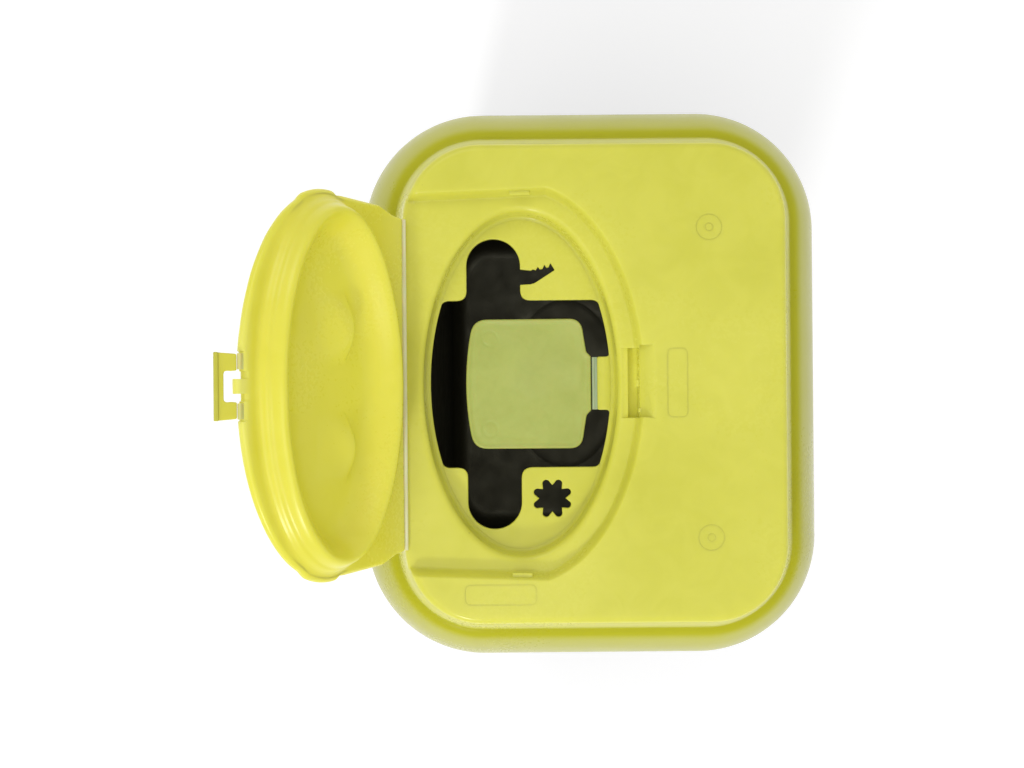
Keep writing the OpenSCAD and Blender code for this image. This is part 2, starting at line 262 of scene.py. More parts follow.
def make_object(name, vertices, faces, sharp=40.0):
    """A smooth-shaded mesh object from millimetre vertices."""
    mesh = bpy.data.meshes.new(name)
    mesh.from_pydata((np.asarray(vertices) * MM).tolist(), [], faces)
    bm = bmesh.new()
    bm.from_mesh(mesh)
    bmesh.ops.recalc_face_normals(bm, faces=bm.faces)
    bm.to_mesh(mesh)
    bm.free()
    finish_shading(mesh, sharp)
    return add_object(name, mesh)


def add_object(name, data):
    """A new object in the scene."""
    obj = bpy.data.objects.new(name, data)
    bpy.context.scene.collection.objects.link(obj)
    return obj


def finish_shading(mesh, sharp):
    """Smooth shading, with edges sharper than an angle in degrees kept hard."""
    mesh.shade_smooth()
    mesh.set_sharp_from_angle(angle=math.radians(sharp))


def ring(centre, theta, radius, z):
    """One ring of points about centre."""
    x = centre[0] + radius * np.cos(theta)
    y = centre[1] + radius * np.sin(theta)
    return np.stack([x, y, np.broadcast_to(z, x.shape)], axis=1)


def loft(name, rings, loop=False, sharp=40.0, shape=None):
    """A closed skin through rings: a loop joins the last to the first, otherwise both ends are capped."""
    n, count = len(rings[0]), len(rings)
    vertices = np.concatenate(rings)
    i = np.arange(n)
    j = (i + 1) % n
    faces = []
    for k in range(count if loop else count - 1):
        a, b = k * n, (k + 1) % count * n
        faces += np.stack([a + i, a + j, b + j, b + i], axis=1).tolist()
    if not loop:
        for k in (0, count - 1):
            hub = len(vertices)
            vertices = np.concatenate([vertices, rings[k].mean(axis=0)[None]])
            faces += [[k * n + p, k * n + q, hub] for p, q in zip(i, j)]
    if shape is not None:
        vertices = shape(vertices)
    return make_object(name, vertices, faces, sharp)


def left_normals(points):
    """Unit normals to the left of a closed outline's direction, scaled for its corners."""
    before, after = points - np.roll(points, 1, axis=0), np.roll(points, -1, axis=0) - points
    before /= np.linalg.norm(before, axis=1)[:, None] + 1e-12
    after /= np.linalg.norm(after, axis=1)[:, None] + 1e-12
    normal = np.stack([-(before + after)[:, 1], (before + after)[:, 0]], axis=1)
    normal /= np.linalg.norm(normal, axis=1)[:, None] + 1e-12
    side = np.stack([-after[:, 1], after[:, 0]], axis=1)
    return normal / np.clip((normal * side).sum(axis=1), 0.6, 1)[:, None]


def turning(points):
    """Twice the signed area of an outline: positive where it runs anticlockwise."""
    nxt = np.roll(points, -1, axis=0)
    return (points[:, 0] * nxt[:, 1] - nxt[:, 0] * points[:, 1]).sum()


def slab(name, outer, holes, lo, hi, edge, shape=None, steps=4):
    """A plate with rounded edges: an outline with holes, between two heights."""
    loops = [outer if turning(outer) > 0 else outer[::-1]]
    loops += [h if turning(h) < 0 else h[::-1] for h in holes]
    turn = np.linspace(0, math.pi / 2, steps)
    profile = [(edge * (1 - math.sin(a)), hi - edge * (1 - math.cos(a))) for a in turn]
    profile += [(inset, lo + hi - z) for inset, z in reversed(profile)]
    bm = bmesh.new()
    caps = ([], [])
    for points in loops:
        normals = left_normals(points)
        levels = []
        for inset, z in profile:
            flat = points + normals * inset
            solid = np.column_stack([flat, np.full(len(flat), z)])
            if shape is not None:
                solid = shape(solid)
            levels.append([bm.verts.new(p * MM) for p in solid])
        n = len(points)
        for a, b in zip(levels, levels[1:]):
            for i in range(n):
                j = (i + 1) % n
                bm.faces.new((a[i], a[j], b[j], b[i]))
        for cap, level in zip(caps, (levels[0], levels[-1])):
            cap += [bm.edges.get((level[i], level[(i + 1) % n])) for i in range(n)]
    for cap in caps:
        bmesh.ops.triangle_fill(bm, use_beauty=True, use_dissolve=False, edges=cap)
    bmesh.ops.recalc_face_normals(bm, faces=bm.faces)
    mesh = bpy.data.meshes.new(name)
    bm.to_mesh(mesh)
    bm.free()
    finish_shading(mesh, 50)
    obj = add_object(name, mesh)
    obj.modifiers.new("even_normals", "WEIGHTED_NORMAL").keep_sharp = True
    return obj


def prism(name, profile, y_lo, y_hi):
    """An (x, z) outline drawn out along Y."""
    n = len(profile)
    vertices = [(x, y, z) for y in (y_lo, y_hi) for x, z in profile]
    faces = [tuple(range(n)), tuple(range(n, 2 * n))]
    faces += [(i, (i + 1) % n, n + (i + 1) % n, n + i) for i in range(n)]
    return make_object(name, vertices, faces, 10)


def join(name, *objects):
    """Objects joined into one piece."""
    with bpy.context.temp_override(active_object=objects[0], selected_editable_objects=list(objects)):
        bpy.ops.object.join()
    objects[0].name = name
    objects[0].data.name = name
    return objects[0]


def carve(obj, cutter, operation):
    """A boolean, applied at once."""
    modifier = obj.modifiers.new("carve", "BOOLEAN")
    modifier.operation = operation
    modifier.object = cutter
    modifier.solver = "MANIFOLD"
    graph = bpy.context.evaluated_depsgraph_get()
    mesh = bpy.data.meshes.new_from_object(obj.evaluated_get(graph))
    obj.modifiers.clear()
    obj.data = mesh
    bpy.data.objects.remove(cutter)
    finish_shading(mesh, 40)


def soften(node, width, segments=3):
    """Rounds a CAD node's edges without touching its mesh."""
    obj = frame["nodes"][node]
    obj.modifiers.new("weld", "WELD").merge_threshold = 0.002 * MM
    bevel = obj.modifiers.new("round", "BEVEL")
    bevel.width = width * MM
    bevel.segments = segments
    bevel.limit_method = "ANGLE"
    bevel.angle_limit = math.radians(35)
    bevel.harden_normals = False
    obj.modifiers.new("even_normals", "WEIGHTED_NORMAL").keep_sharp = True
    return obj


# ---- lid ----

LIP = -0.5                                  # how far the well's lip stands in from its outline
SLOT_LO_X, SLOT_HI_X = 5.4, 9.3             # pocket that the latch drops into
SLOT_HALF, SLOT_FLOOR = 7.5, SEAT_Z - 4.8
SEAT_SLOPE = 3.0                            # rise over run of the seat's wall
SEAT_FOOT = -0.5                            # its foot, out from the seat's outline


def plateau_height(r):
    """Height of the flat top and of its rounded edge, at r out from the core."""
    inner = PLATEAU_R - EDGE_ROUND
    fall = np.sqrt(np.clip(EDGE_ROUND**2 - np.clip(r - inner, 0, EDGE_ROUND) ** 2, 0, None))
    return TOP_Z - EDGE_ROUND + fall


def seat_height(x, y):
    """Height of the seat's floor and of its sloping wall, carried on above the flat top."""
    rise = SEAT_SLOPE * (seat_field(x, y) - SEAT_FOOT)
    return SEAT_Z + smooth_max(np.zeros_like(rise), rise, 1.1)


def lowered(x, y, z):
    """A height on the lid's top, brought down wherever the seat runs through it."""
    return smooth_min(z, seat_height(x, y), 1.6)


def lid_body():
    """The lid: one loft from the rim over the shoulder to the well, and back underneath."""
    centre = (OVAL_X, 0.0)
    corner = math.atan2(41.3, -39.4 - OVAL_X)   # where the seat's flanks run out to the edge
    theta = angles(900, (corner, 0.14, 3.5), (-corner, 0.14, 3.5))

    def at(radius, z=None, sink=0.0):
        points = ring(centre, theta, radius, 0.0)
        x, y = points[:, 0], points[:, 1]
        height = plateau_height(core_field(x, y)) if z is None else np.broadcast_to(z, x.shape)
        points[:, 2] = lowered(x, y, height + sink) - sink
        points[:, 2] += 0.02 * ripple(x, y, 34, 3) * smooth_step((points[:, 2] - LEDGE_Z) / 4)
        return points

    def out_to(field, level):
        return reach(field, level, centre, theta)

    def core(r, z, sink=0.0):
        return at(out_to(core_field, r), z, sink)

    rings = []
    # skirt, shoulder, ledge, wall and the edge of the flat top
    rings += [core(RIM_R - 0.35, RIM_Z), core(RIM_R - 0.1, RIM_Z + 0.1), core(RIM_R, RIM_Z + 0.35)]
    shoulder_run, shoulder_rise = RIM_R - 0.1 - SHOULDER_R, LEDGE_Z - SHOULDER_Z
    for t in np.linspace(0, 1.04, 26):
        z = smooth_min(SHOULDER_Z + shoulder_rise * t, LEDGE_Z - 0.05, 2.2)
        rings.append(core(RIM_R - 0.1 - shoulder_run * t**2, z))
    rings += [core(FOOT_R + 0.6, LEDGE_Z - 0.03), core(FOOT_R + 0.3, LEDGE_Z + 0.1)]
    rings += [core(FOOT_R + 0.1, LEDGE_Z + 0.35), core(FOOT_R, LEDGE_Z + 0.75)]
    for t in np.linspace(0.15, 1, 8):
        r = FOOT_R + (PLATEAU_R - FOOT_R) * t
        rings.append(core(r, LEDGE_Z + 0.75 + (TOP_Z - EDGE_ROUND - LEDGE_Z - 0.75) * t))
    for a in np.linspace(0, math.pi / 2, 9)[1:]:
        inset, drop = EDGE_ROUND * (1 - math.cos(a)), EDGE_ROUND * (1 - math.sin(a))
        rings.append(core(PLATEAU_R - inset, TOP_Z - drop))
    edge = out_to(core_field, PLATEAU_R - EDGE_ROUND)

    # flat top, seat wall and seat floor, kept in order where the seat runs out to the edge
    collar = step_profile(LIP, SEAT_Z, PLATE_Z + 0.03, 5.0, 1.3, 0.9)
    collar_edge = out_to(well_field, collar[0][0] + 0.1)
    walls = np.linspace(1.3, -1.1, 30)
    top_count, floor_count = 12, 7
    gap = np.minimum(0.75 * (edge - collar_edge) / (top_count + len(walls) + floor_count), 0.06)
    seat_edge = np.minimum(out_to(seat_field, walls[0]), edge - top_count * gap)
    for t in np.linspace(0, 1, top_count + 1)[1:]:
        rings.append(at(edge + (seat_edge - edge) * t))
    radius = seat_edge
    for e in walls[1:]:
        radius = np.minimum(out_to(seat_field, e), radius - gap)
        rings.append(at(radius))
    for t in np.linspace(0, 1, floor_count + 1)[1:-1]:
        rings.append(at(radius + (collar_edge - radius) * t, SEAT_Z + 2))

    # well wall, its lip under the plates, and the underside back to the rim
    under = [(LIP - 0.1, PLATE_Z - 0.08), (LIP - 0.12, PLATE_Z - 0.4), (LIP - 0.05, PLATE_UNDER + 0.2),
             (LIP + 0.2, PLATE_UNDER), (1.2, PLATE_UNDER + 0.1), (1.5, PLATE_UNDER + 0.5),
             (2.1, SEAT_Z - 2.4), (2.6, SEAT_Z - LID_WALL)]
    for e, z in collar + under:
        rings.append(ring(centre, theta, out_to(well_field, e), z))
    inner = out_to(well_field, under[-1][0])
    wall_r = PLATEAU_R - LID_WALL
    wall_in = out_to(core_field, wall_r - 0.6)
    for e, z in ((0.6, SEAT_Z - LID_WALL), (1.2, SEAT_Z - LID_WALL + 0.6), (2.2, TOP_Z - LID_WALL)):
        inner = np.minimum(np.maximum(out_to(seat_field, e), inner + 0.1), wall_in - 0.3 + 0.1 * e)
        rings.append(at(inner, z, LID_WALL))
    for r, z in ((wall_r - 0.6, TOP_Z - LID_WALL), (wall_r, TOP_Z - LID_WALL - 0.6),
                 (FOOT_R - LID_WALL, LEDGE_Z), (FOOT_R - LID_WALL + 0.6, LEDGE_Z - LID_WALL)):
        rings.append(core(r, z, LID_WALL))
    for t in np.linspace(0.98, 0, 14):
        rings.append(core(RIM_R - 0.1 - LID_WALL - (shoulder_run - 0.3) * t**2,
                          SHOULDER_Z + (shoulder_rise - LID_WALL - 0.3) * t))
    rings += [core(RIM_R - LID_WALL, RIM_Z + 0.3), core(RIM_R - LID_WALL + 0.3, RIM_Z)]
    lid = loft("lid_body", rings, loop=True)

    # pocket that the latch drops into, with a thumb scoop behind it
    wall, channel = 1.3, SLOT_HI_X - 2.3
    x_lo, x_hi, y = channel - wall, SLOT_HI_X + wall, SLOT_HALF + wall
    outline = rectangle(x_lo, x_hi, -y, y, 1, 1)
    carve(lid, slab("pocket_walls", outline, [], SLOT_FLOOR - wall, SEAT_Z - 0.6, 0.3), "UNION")
    pocket = [(SLOT_LO_X - 0.2, SEAT_Z + 0.05), (channel - 0.1, SEAT_Z - 0.9), (channel, SLOT_FLOOR),
              (SLOT_HI_X, SLOT_FLOOR), (SLOT_HI_X, TOP_Z + 4), (SLOT_LO_X - 0.2, TOP_Z + 4)]
    carve(lid, prism("pocket", pocket, -SLOT_HALF, SLOT_HALF), "DIFFERENCE")
    scoop = [(SLOT_HI_X + x, TOP_Z + z) for x, z in ((-0.05, -2.6), (2.75, 0.05), (2.75, 1), (-0.05, 1))]
    carve(lid, prism("scoop", scoop, -SLOT_HALF + 0.2, SLOT_HALF + 0.6), "DIFFERENCE")
    return lid


def lid_ribs():
    """Two ribs under the lid: a stop for the tub's rim and a plug inside its wall."""
    theta = angles(360)
    tub_r = TUB_HI[0] - CORE_X - 1.5

    def rib(name, r_lo, r_hi, z_lo, z_hi):
        rings = []
        for r, z in ((r_lo, z_lo + 0.2), (r_lo, z_hi), (r_hi, z_hi), (r_hi, z_lo + 0.2), (r_hi - 0.2, z_lo),
                     (r_lo + 0.2, z_lo)):
            rings.append(ring((0, 0), theta, reach(core_field, r, (0, 0), theta), z))
        return loft(name, rings, loop=True)

    stop = rib("lid_ribs", tub_r - 0.4, tub_r + 0.8, TUB_HI[2], TUB_HI[2] + 5)
    plug = rib("plug_rib", tub_r - 3.0, tub_r - 2.0, TUB_HI[2] - 5, TUB_HI[2] + 10)
    return join("lid_ribs", stop, plug)


def catch_nubs():
    """The small catch in the pocket's far wall, and a lesser one beside it."""
    pieces = []
    for name, x, y, half, z_lo, z_hi in (("catch", SLOT_HI_X, 0.0, 0.8, SEAT_Z - 1.6, SEAT_Z - 0.6),
                                         ("lesser", SLOT_HI_X + 0.25, -5.8, 0.5, TOP_Z - 2.8, TOP_Z - 2.2)):
        outline = rectangle(x - 0.6, x + 0.3, y - half, y + half, 0.3, 0)
        pieces.append(slab(name, outline, [], z_lo, z_hi, 0.22))
    return join("catch_nubs", *pieces)


def recess_clips():
    """A small clip on each flank of the seat."""
    pieces = []
    for side in (-1, 1):
        outline = rectangle(OVAL_X - 2.2, OVAL_X + 2.2, side * 40.2, side * 41.9, 0.3, 0.3)
        pieces.append(slab(f"clip_{side + 1}", outline, [], TOP_Z - 1.4, TOP_Z - 0.7, 0.25))
    return join("recess_clips_form", *pieces)


def moulding_marks():
    """Faint raised outlines left by the mould's inserts and gates."""
    line, lift, depth = 0.16, 0.035, 0.3

    def raised(name, outer, inner):
        return slab(name, outer, [inner], TOP_Z - depth, TOP_Z + lift, 0.02)

    def circle(x, y, r, steps=48):
        return np.array(arc(x, y, r, 0, 360 * (steps - 1) / steps, steps))

    def insert(name, x_lo, x_hi, y_lo, y_hi):
        outer = rectangle(x_lo, x_hi, y_lo, y_hi, 1.4, 1.4)
        return raised(name, outer, outer + left_normals(outer) * line)

    gate_x, pieces = 24.1, []
    for y in (-33.0, 33.0):
        for r in (2.8, 0.9):
            pieces.append(raised(f"gate_{r}_{y}", circle(gate_x, y, r), circle(gate_x, y, r - line)))
    pieces.append(insert("bracket", 15.0, 19.4, -7.4, 7.4))
    pieces.append(insert("insert_low", -28.4, -13.1, -47.0, -42.6))
    return join("moulding_marks", *pieces)


# ---- drop opening ----

def wall_x(y, grow, sign):
    """X where an oval grown by `grow` from the well's outline crosses y."""
    t = 1 - (y / (WELL_RY + grow)) ** 2
    return OVAL_X + sign * (WELL_RX + grow) * math.sqrt(t)


def wall_corner(y_edge, side, sign, radius):
    """The two ends of a window edge where it meets the well's wall: (corner, point down the wall)."""
    down = y_edge - 2.9
    return (wall_x(y_edge, LIP, sign), side * y_edge, radius), (wall_x(down, LIP, sign), side * down, 0)


def outer_arc(side, grow=0.5, steps=60):
    """The plate's outer edge, set into the well's wall, from right to left."""
    y_low = WINDOW_Y - 2.9
    start = math.asin(y_low / (WELL_RY + grow))
    a = np.linspace(start, math.pi - start, steps)
    return [(OVAL_X + (WELL_RX + grow) * math.cos(t), side * (WELL_RY + grow) * math.sin(t), 0) for t in a]


def plate_outline(side, notch):
    """One aperture plate: from the left wall, round the slot's end to the right wall, and back."""
    left_edge, left_wall = wall_corner(WINDOW_Y, side, -1, 1.9)
    right_edge, right_wall = wall_corner(WINDOW_Y, side, 1, 1.9)
    mid = SLOT_END - SLOT_R
    path = [left_wall, left_edge, (SLOT_X - SLOT_R, side * WINDOW_Y, 2.2)]
    path += [(x, side * y, 0) for x, y in arc(SLOT_X, mid, SLOT_R, 180, 0, 33)]
    path += notch
    path += [(SLOT_X + SLOT_R, side * WINDOW_Y, 2.4), right_edge, right_wall]
    return fillet(path + outer_arc(side))


def needle_jaw():
    """The toothed jaw that opens off the slot."""
    edge = SLOT_X + SLOT_R
    upper = [(edge, 24.95, 0.2), (-13.7, 24.7, 0.3), (-13.2, 24.95, 0.1)]
    teeth = [(-12.6, 24.75, 0.1), (-12.15, 25.5, 0.06), (-11.7, 24.95, 0.1), (-11.1, 25.05, 0.1),
             (-10.7, 25.95, 0.06), (-10.3, 25.3, 0.1), (-9.8, 25.4, 0.1), (-9.4, 26.3, 0.08)]
    shade_towards_rim = [(-8.5, 24.75, 0.12), (-12.9, 21.95, 0.6), (-13.8, 21.7, 0.5), (edge, 21.6, 0.15)]
    return upper + teeth + shade_towards_rim


def star():
    """The eight-lobed hub hole."""
    cx, cy, lobe_r, far, near = -9.4, -25.0, 0.82, 3.5, 3.1
    points = []
    for i in range(8):
        a = math.radians(22.5 + 45 * i)
        along, across = np.array([math.cos(a), math.sin(a)]), np.array([-math.sin(a), math.cos(a)])
        for t in np.radians(np.linspace(-90, 90, 9)):
            points.append(along * (far + lobe_r * math.cos(t)) + across * lobe_r * math.sin(t))
        b = a + math.radians(22.5)
        points.append(near * 0.93 * np.array([math.cos(b), math.sin(b)]))
    return np.array([cx, cy]) + np.array(points)


def aperture_plates():
    """The two plates that leave the slot open between them."""
    edge = 0.22
    needle = slab("needle_plate_form", plate_outline(1, needle_jaw()), [], PLATE_UNDER, PLATE_Z, edge)
    blade = slab("blade_plate_form", plate_outline(-1, []), [star()], PLATE_UNDER, PLATE_Z, edge)
    return needle, blade


def hinge_tab():
    """The yellow tab that the flap's web hangs from: crowned, and flared where it meets the wall."""
    half, flare = 5.8, 1.5
    tab_x = FLAP_HINGE[0] + 0.8
    wide = half + flare
    side = [(tab_x, half, 0.5), (wall_x(half, LIP, 1), half, 1.3), (wall_x(wide, LIP, 1), wide, 0),
            (wall_x(wide, 0.5, 1), wide, 0)]
    corners = mirrored(side) + [(wall_x(0, 0.6, 1), 0, 0)] + side[::-1]

    def crowned(points):
        t = (points[:, 0] - tab_x) / (WELL_RX + OVAL_X - tab_x)
        points[:, 2] += 0.35 * np.sin(np.clip(t, 0, 1) * math.pi) * (points[:, 2] > PLATE_UNDER + 0.6)
        return points

    tab = slab("hinge_tab_form", fillet(corners), [], PLATE_UNDER, PLATE_Z - 0.35, 0.25)
    divide_top(tab, 0.5)
    reshape(tab, crowned)
    return tab


def divide_top(obj, size):
    """Cuts a mesh along X and Y lines so that it can be shaped."""
    bm = bmesh.new()
    bm.from_mesh(obj.data)
    lo = Vector(map(min, zip(*(v.co for v in bm.verts))))
    hi = Vector(map(max, zip(*(v.co for v in bm.verts))))
    for axis in (0, 1):
        normal = Vector((0, 0, 0))
        normal[axis] = 1
        for t in np.arange(lo[axis] + size * MM, hi[axis], size * MM):
            where = Vector((0, 0, 0))
            where[axis] = t
            geometry = bm.verts[:] + bm.edges[:] + bm.faces[:]
            bmesh.ops.bisect_plane(bm, geom=geometry, plane_co=where, plane_no=normal)
    bm.to_mesh(obj.data)
    bm.free()
    finish_shading(obj.data, 50)


def reshape(obj, shape):
    """Moves a piece's vertices by a function of millimetre points."""
    co = np.empty(len(obj.data.vertices) * 3)
    obj.data.vertices.foreach_get("co", co)
    co = shape(co.reshape(-1, 3) / MM) * MM
    obj.data.vertices.foreach_set("co", co.ravel())
    obj.data.update()


def safety_flap():
    """A thin sprung flap with a raised rim, faint waves and two ejector marks."""
    tip, half = FLAP_LO[0], FLAP_HI[1]
    bulge, hinge_end = 1.6, FLAP_HINGE[0] - 0.55
    left = [(tip + bulge * (y / half) ** 2, y, 0) for y in np.linspace(-half + 4.6, half - 4.6, 11)]
    side = [(tip + bulge, half, 3.6), (-2.9, half + 0.05, 2.9), (-1.75, 6.9, 1.3), (hinge_end, 5.9, 0.3)]
    far = mirrored(side)
    outline = fillet(far[:1] + left + side + far[:0:-1])
    centre = (-13.5, 0.0)
    theta = angles(600)
    edge = outline_radius(outline, centre, theta)
    mid_z = FLAP_HINGE[2]

    def face(side):
        rings = []
        for inset, z in ((0, 0), (0.03, 0.14), (0.12, 0.28), (0.25, 0.37), (0.45, 0.38), (0.65, 0.32),
                         (0.9, 0.2), (1.3, 0.16)):
            rings.append(ring(centre, theta, edge - inset, mid_z + side * z))
        for t in np.linspace(0, 0.985, 46)[1:]:
            points = ring(centre, theta, (edge - 1.3) * (1 - t), mid_z + side * 0.16)
            x, y = points[:, 0], points[:, 1]
            fade = smooth_step(t / 0.1)
            lift = 0.05 * ripple(x, y, 9, 11) + 0.06 * ripple(x, y, 22, 12)
            for my in (-half + 4.2, half - 4.2):
                off = np.hypot(x - tip - 5.2, y - my)
                lift -= side * 0.07 * np.exp(-((off - 1.6) / 0.3) ** 2)
            points[:, 2] += fade * lift
            rings.append(points)
        return rings

    return loft("safety_flap_form", face(1)[::-1] + face(-1)[1:])


# ---- flip lid and latch ----

def opened(points):
    """From the closed flip lid's own axes, measured from its hinge, to where it stands open."""
    c, s = math.cos(OPEN_ANGLE), math.sin(OPEN_ANGLE)
    x, y, z = points.T
    return np.stack([HINGE[0] + x * c - z * s, y, HINGE[2] + x * s + z * c], axis=1)


TONGUE_HALF, NOTCH_HALF = 1.35, 2.9
LEG_EDGE = LATCH_HALF + 0.25                # half width of the step in the rim for the latch's legs
LATCH_RAISE = math.radians(42)              # how far the latch stands out of the flip lid's plane
LATCH_LENGTH = 4.75


def flip_edge(theta):
    """The flip lid's outline about its centre, plain and with the latch's window and tongue.

    It is an oval, squared off towards the hinge, with an ear on each side and an end that stands
    back from the latch's legs.
    """
    c, s = np.cos(theta), np.sin(theta)
    radius = 1 / np.sqrt((c / FLIP_RX) ** 2 + (s / FLIP_RY) ** 2)
    side = [(0.75, HINGE_HALF - 0.1, 0.3), (3.4, HINGE_HALF + 0.3, 1.0), (8.2, FLIP_RY - 0.95, 1.5),
            (FLIP_C - 2, FLIP_RY - 0.05, 3)]
    outline = fillet(mirrored(side) + [(FLIP_C + 6, 0, 0)] + side[::-1])
    radius = smooth_max(radius, outline_radius(outline, (FLIP_C, 0.0), theta), 0.25)
    s_at = FLIP_C + radius * c
    ear = smooth_step((s_at - 21.5) / 1.6) * smooth_step((33.5 - s_at) / 2.4)
    radius = radius + 0.6 * ear / np.maximum(np.abs(s), 0.5)
    y_at = np.abs(radius * s)
    near_end = c > 0.9

    def end_at(past):
        """The straight end of the lid, this far past the latch's hinge."""
        return (FLIP_END + past - FLIP_C) / np.maximum(c, 0.1)

    radius = np.where(near_end & (y_at < LEG_EDGE), np.minimum(radius, end_at(-0.75)), radius)
    notched = np.where(near_end & (y_at < NOTCH_HALF), end_at(-1.15), radius)
    tongue = near_end & (np.abs(notched * s) < TONGUE_HALF)
    return radius, np.where(tongue, end_at(0.95), notched)


# inner face from the flange over the plug to the panel: (out from the plug's oval, height)
PLUG_RX, PLUG_RY = 18.4, 35.5
PLUG_SHAPE = ((2.9, 0.0), (2.35, 0.1), (1.9, 0.4), (1.6, 0.95), (1.38, 1.5), (1.15, 1.85), (0.9, 2.1),
              (0.65, 2.45), (0.45, 3.0), (0.25, 3.6), (0.0, 4.15), (-0.35, 4.6), (-0.85, 4.8), (-1.4, 4.7),
              (-2.0, 4.3), (-2.7, 3.5), (-3.5, 2.45), (-4.4, 1.35), (-5.4, 0.5), (-6.6, 0.0), (-8.0, -0.2),
              (-9.5, -0.25))


def thumb_pads(s, y):
    """Two thumb pads pressed into the panel: steep towards the hinge, easy towards the latch."""
    total = np.zeros_like(s)
    half, depth = 7.4, 1.9
    for mid in (-12.6, 11.7):
        across = np.clip(1 - ((y - mid) / half) ** 2, 0, 1) ** 1.5
        near = 17.8 + 0.03 * (y - mid) ** 2
        rise = smooth_step((s - near) / 1.1)
        fall = 1 - smooth_step((s - near - 1.2) / 9.5)
        total = total + depth * rise * fall * across
    return total


def flip_lid():
    """The flip lid: flange, plug and panel on the inner face, a dished panel on the outer one."""
    leg_at, notch_at, tongue_at = (math.atan2(y, FLIP_RX) for y in (LEG_EDGE, NOTCH_HALF, TONGUE_HALF))
    hinge_at = math.atan2(HINGE_HALF, -FLIP_C + 2)
    theta = angles(900, (0, 3.0 * notch_at, 4), (hinge_at, 0.2, 2), (-hinge_at, 0.2, 2))
    for mark in (leg_at, notch_at, tongue_at):
        for side in (-1, 1):
            near = np.argmin(np.abs(theta - side * mark))
            theta[near] = side * mark
    theta = np.sort(theta)
    centre = (FLIP_C, 0.0)
    plain, edge = flip_edge(theta)
    plug = oval_field(PLUG_RX, PLUG_RY, FLIP_C)
    top, low = FLIP_LOW + FLIP_T, FLIP_LOW
    round_r = 0.9

    def edge_ring(inset, z):
        return ring(centre, theta, edge - inset, z)

    inner, outer = [], []
    for a in np.linspace(0, math.pi / 2, 6):
        inset = round_r * (1 - math.cos(a))
        rise = round_r * (1 - math.sin(a))
        inner.append(edge_ring(inset, low + rise))
        outer.append(edge_ring(inset, top - rise))
    # inner face
    base = reach(plug, PLUG_SHAPE[0][0], centre, theta)
    radius = edge - round_r
    for t in np.linspace(0, 1, 7)[1:-1]:
        radius = np.minimum(plain - round_r + (base - plain + round_r) * t, radius - 0.04)
        inner.append(ring(centre, theta, radius, low))
    e_list = [e for e, _ in PLUG_SHAPE]
    fine = np.interp(np.linspace(0, len(e_list) - 1, 64), np.arange(len(e_list)), e_list)
    heights = np.interp(-fine, [-e for e in e_list], [h for _, h in PLUG_SHAPE])
    heights = np.convolve(np.pad(heights, 2, mode="edge"), [0.1, 0.22, 0.36, 0.22, 0.1], mode="valid")
    for e, h in zip(fine, heights):
        inner.append(ring(centre, theta, reach(plug, e, centre, theta), low - h))
    panel = reach(plug, e_list[-1], centre, theta)
    for t in np.linspace(0, 0.99, 44)[1:]:
        points = ring(centre, theta, panel * (1 - t), low - heights[-1])
        inner.append(points)
    for points in inner[-100:]:
        points[:, 2] -= thumb_pads(points[:, 0], points[:, 1])
    # outer face: a shallow panel with the backs of the thumb pads
    panel_edge = reach(plug, -0.5, centre, theta)
    radius = edge - round_r
    for t in np.linspace(0, 1, 8)[1:]:
        radius = np.minimum(plain - round_r + (panel_edge - plain + round_r) * t, radius - 0.04)
        outer.append(ring(centre, theta, radius, top))
    for e, z in ((-0.9, -0.08), (-1.2, -0.25), (-1.5, -0.4), (-1.9, -0.48), (-2.5, -0.5)):
        outer.append(ring(centre, theta, reach(plug, e, centre, theta), top + z))
    dish = reach(plug, -2.5, centre, theta)
    for t in np.linspace(0, 0.99, 70)[1:]:
        points = ring(centre, theta, dish * (1 - t), top - 0.5)
        points[:, 2] -= 0.8 * thumb_pads(points[:, 0] - 0.3, points[:, 1])
        outer.append(points)

    def shape(points):
        x, y = points[:, 0], points[:, 1]
        points[:, 2] += 0.05 * ripple(x, y, 26, 21) + 0.02 * ripple(x, y, 9, 22)
        return opened(points)

    return loft("flip_lid_form", outer[::-1] + inner, sharp=38, shape=shape)


def latch_frame(points):
    """From the latch's own axes, measured from its hinge, to where it stands."""
    c, s = math.cos(LATCH_RAISE), math.sin(LATCH_RAISE)
    x, y, z = points.T
    return opened(np.stack([FLIP_END + x * c - z * s, y, x * s + z * c], axis=1))


def latch():
    """The latch: an outer bar on two legs, with a thicker hooked lip."""
    length, half, leg, thick = LATCH_LENGTH, LATCH_HALF, NOTCH_HALF + 0.05, 0.5
    outside = [(0.5, half - 0.35, 0.4), (length - 1.2, half - 0.1, 0.3), (length, half, 0.25)]
    window = [(0.5, leg, 0.3), (1.6, leg - 0.1, 0.4), (2.9, leg, 0.7)]
    corners = mirrored(outside) + outside[::-1] + window + mirrored(window)[::-1]
    plate = slab("latch_form", fillet(corners), [], -thick, thick, 0.22, shape=latch_frame)
    lip = rectangle(length - 0.85, length, -half, half, 0.2, 0.2)
    hook = slab("latch_lip", lip, [], -thick - 0.35, thick - 0.1, 0.18, shape=latch_frame)
    return join("latch_form", plate, hook)


# ---- tub and label ----

